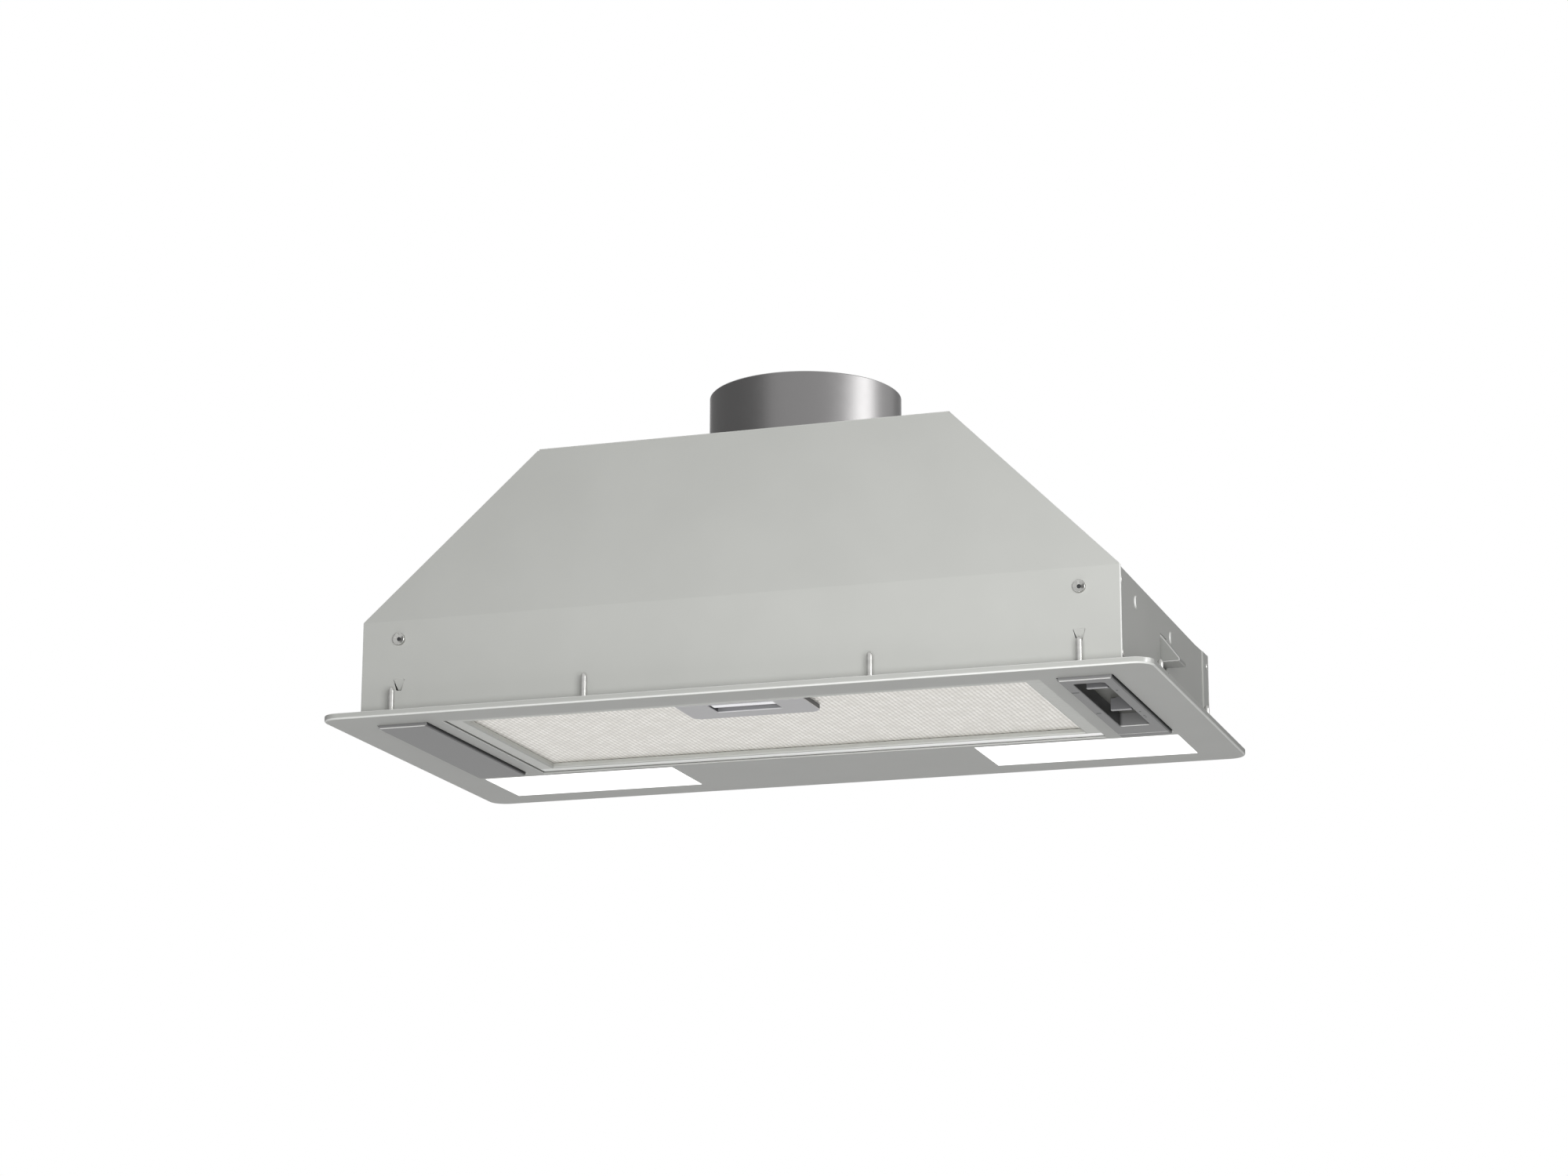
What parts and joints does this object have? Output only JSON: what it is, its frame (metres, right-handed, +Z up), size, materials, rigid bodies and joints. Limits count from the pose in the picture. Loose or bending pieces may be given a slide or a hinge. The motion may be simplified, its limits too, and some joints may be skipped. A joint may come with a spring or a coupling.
{
  "type": "range hood",
  "caption": "Built-in canopy range hood with a sloped steel housing, a round duct collar with a damper, a blower, lamps, a slide control and a swing-down grease filter.",
  "frame": {"origin": "middle of the lowest plane, on the faces of the two plastic panels under the face plate", "axes": "+X to the right seen from the front, -Y out of the front, +Z up through the duct collar"},
  "size_m": [0.525, 0.2842, 0.2338],
  "materials": {
    "plate_steel": "satin grey paint",
    "housing_steel": "satin light grey paint",
    "zinc_steel": "zinc plated",
    "screw_steel": "zinc plated",
    "pin_steel": "bright zinc",
    "collar_steel": "satin zinc plated sheet",
    "dark_plastic": "matte",
    "casing_plastic": "matte",
    "wheel_plastic": "matte",
    "shaft_steel": "ground",
    "core_steel": "varnished laminations",
    "motor_alloy": "cast, satin",
    "bearing_bronze": "sintered bronze",
    "rubber": "matte",
    "white_plastic": "satin",
    "panel_plastic": "fine matte",
    "track_plastic": "matte",
    "slider_plastic": "satin",
    "board_green": "solder mask",
    "lamp_alloy": "satin",
    "board_white": "white solder mask",
    "lamp_window": "opal diffuser",
    "black_plastic": "matte",
    "ivory_plastic": "matte",
    "filter_alloy": "satin anodised",
    "mesh_alloy": "fine expanded mesh",
    "filter_fleece": "pad between the two meshes",
    "latch_plastic": "satin",
    "latch_metal": "satin",
    "spring_steel": "bright",
    "dark_screw": "black zinc"
  },
  "bodies": {
    "housing": {"face_plate": "plate_steel", "front_panel": "housing_steel", "rear_panel": "housing_steel", "side_panel_left": "housing_steel", "side_panel_right": "housing_steel", "top_panel": "housing_steel", "corner_brackets": "zinc_steel", "front_screws": "screw_steel", "body_rivets": "screw_steel", "locating_pins": "pin_steel", "duct_collar": "collar_steel", "collar_screws": "screw_steel", "damper_pin": "pin_steel", "fan_casing_left": "casing_plastic", "fan_casing_right": "casing_plastic", "casing_screws": "screw_steel", "inlet_ring_left": "casing_plastic", "inlet_ring_right": "casing_plastic", "motor_can": "motor_alloy", "stator_core": "core_steel", "motor_bearings": "bearing_bronze", "motor_bracket": "zinc_steel", "rubber_mounts": "rubber", "motor_screws": "screw_steel", "capacitor": "white_plastic", "capacitor_clip": "zinc_steel", "control_bezel": "panel_plastic", "slider_track": "track_plastic", "switch_box": "dark_plastic", "circuit_board": "board_green", "blank_panel": "panel_plastic", "led_housing_left": "lamp_alloy", "led_housing_right": "lamp_alloy", "led_boards": "board_white", "led_diffuser_left": "lamp_window", "led_diffuser_right": "lamp_window", "led_driver": "white_plastic", "terminal_box": "black_plastic", "terminal_block": "ivory_plastic", "terminal_lid": "black_plastic", "cable_gland": "black_plastic", "filter_rails": "zinc_steel", "clip_brackets": "zinc_steel", "clip_screws": "dark_screw"},
    "filter": {"filter_frame": "filter_alloy", "filter_mesh_lower": "mesh_alloy", "filter_core": "filter_fleece", "filter_mesh_upper": "mesh_alloy", "latch_housing": "latch_plastic", "latch_springs": "spring_steel"},
    "filter_latch": {"latch_bar": "latch_metal"},
    "light_switch": {"light_slider": "slider_plastic"},
    "fan_switch": {"fan_speed_slider": "slider_plastic"},
    "fan": {"fan_wheel": "wheel_plastic", "fan_shaft": "shaft_steel", "armature": "core_steel"},
    "damper_left": {"damper_flap_left": "dark_plastic"},
    "damper_right": {"damper_flap_right": "dark_plastic"},
    "clip_left": {"side_clip_left": "spring_steel"},
    "clip_right": {"side_clip_right": "spring_steel"}
  },
  "joints": [
    {"name": "filter_swing", "type": "hinge", "parent": "housing", "child": "filter", "pos_m": [0, 0.04705, 0.0075], "axis": [1, 0, 0], "range_deg": [0, 80]},
    {"name": "filter_latch_slide", "type": "slide", "parent": "filter", "child": "filter_latch", "axis": [0, 1, 0], "range_m": [0, 0.006], "stiffness_N_per_m": 300, "springref_m": -0.01, "deforming": ["latch_springs"]},
    {"name": "light_slide", "type": "slide", "parent": "housing", "child": "light_switch", "axis": [0, 1, 0], "range_m": [0, 0.009]},
    {"name": "fan_speed_slide", "type": "slide", "parent": "housing", "child": "fan_switch", "axis": [0, 1, 0], "range_m": [0, 0.024]},
    {"name": "fan_spin", "type": "hinge", "parent": "housing", "child": "fan", "pos_m": [0, -0.03, 0.104], "axis": [1, 0, 0], "continuous": true},
    {"name": "damper_left_swing", "type": "hinge", "parent": "housing", "child": "damper_left", "pos_m": [0, 0.0241, 0.1788], "axis": [0, 1, 0], "range_deg": [0, 60]},
    {"name": "damper_right_swing", "type": "hinge", "parent": "housing", "child": "damper_right", "pos_m": [0, 0.0241, 0.1788], "axis": [0, -1, 0], "range_deg": [0, 60]},
    {"name": "clip_left_swing", "type": "hinge", "parent": "housing", "child": "clip_left", "pos_m": [-0.2377, -0.0063, 0.059], "axis": [0, -1, 0], "range_deg": [0, 15], "stiffness_Nm_per_rad": 0.6, "springref_deg": -17.19},
    {"name": "clip_right_swing", "type": "hinge", "parent": "housing", "child": "clip_right", "pos_m": [0.2377, -0.0063, 0.059], "axis": [0, 1, 0], "range_deg": [0, 15], "stiffness_Nm_per_rad": 0.6, "springref_deg": -17.19}
  ]
}
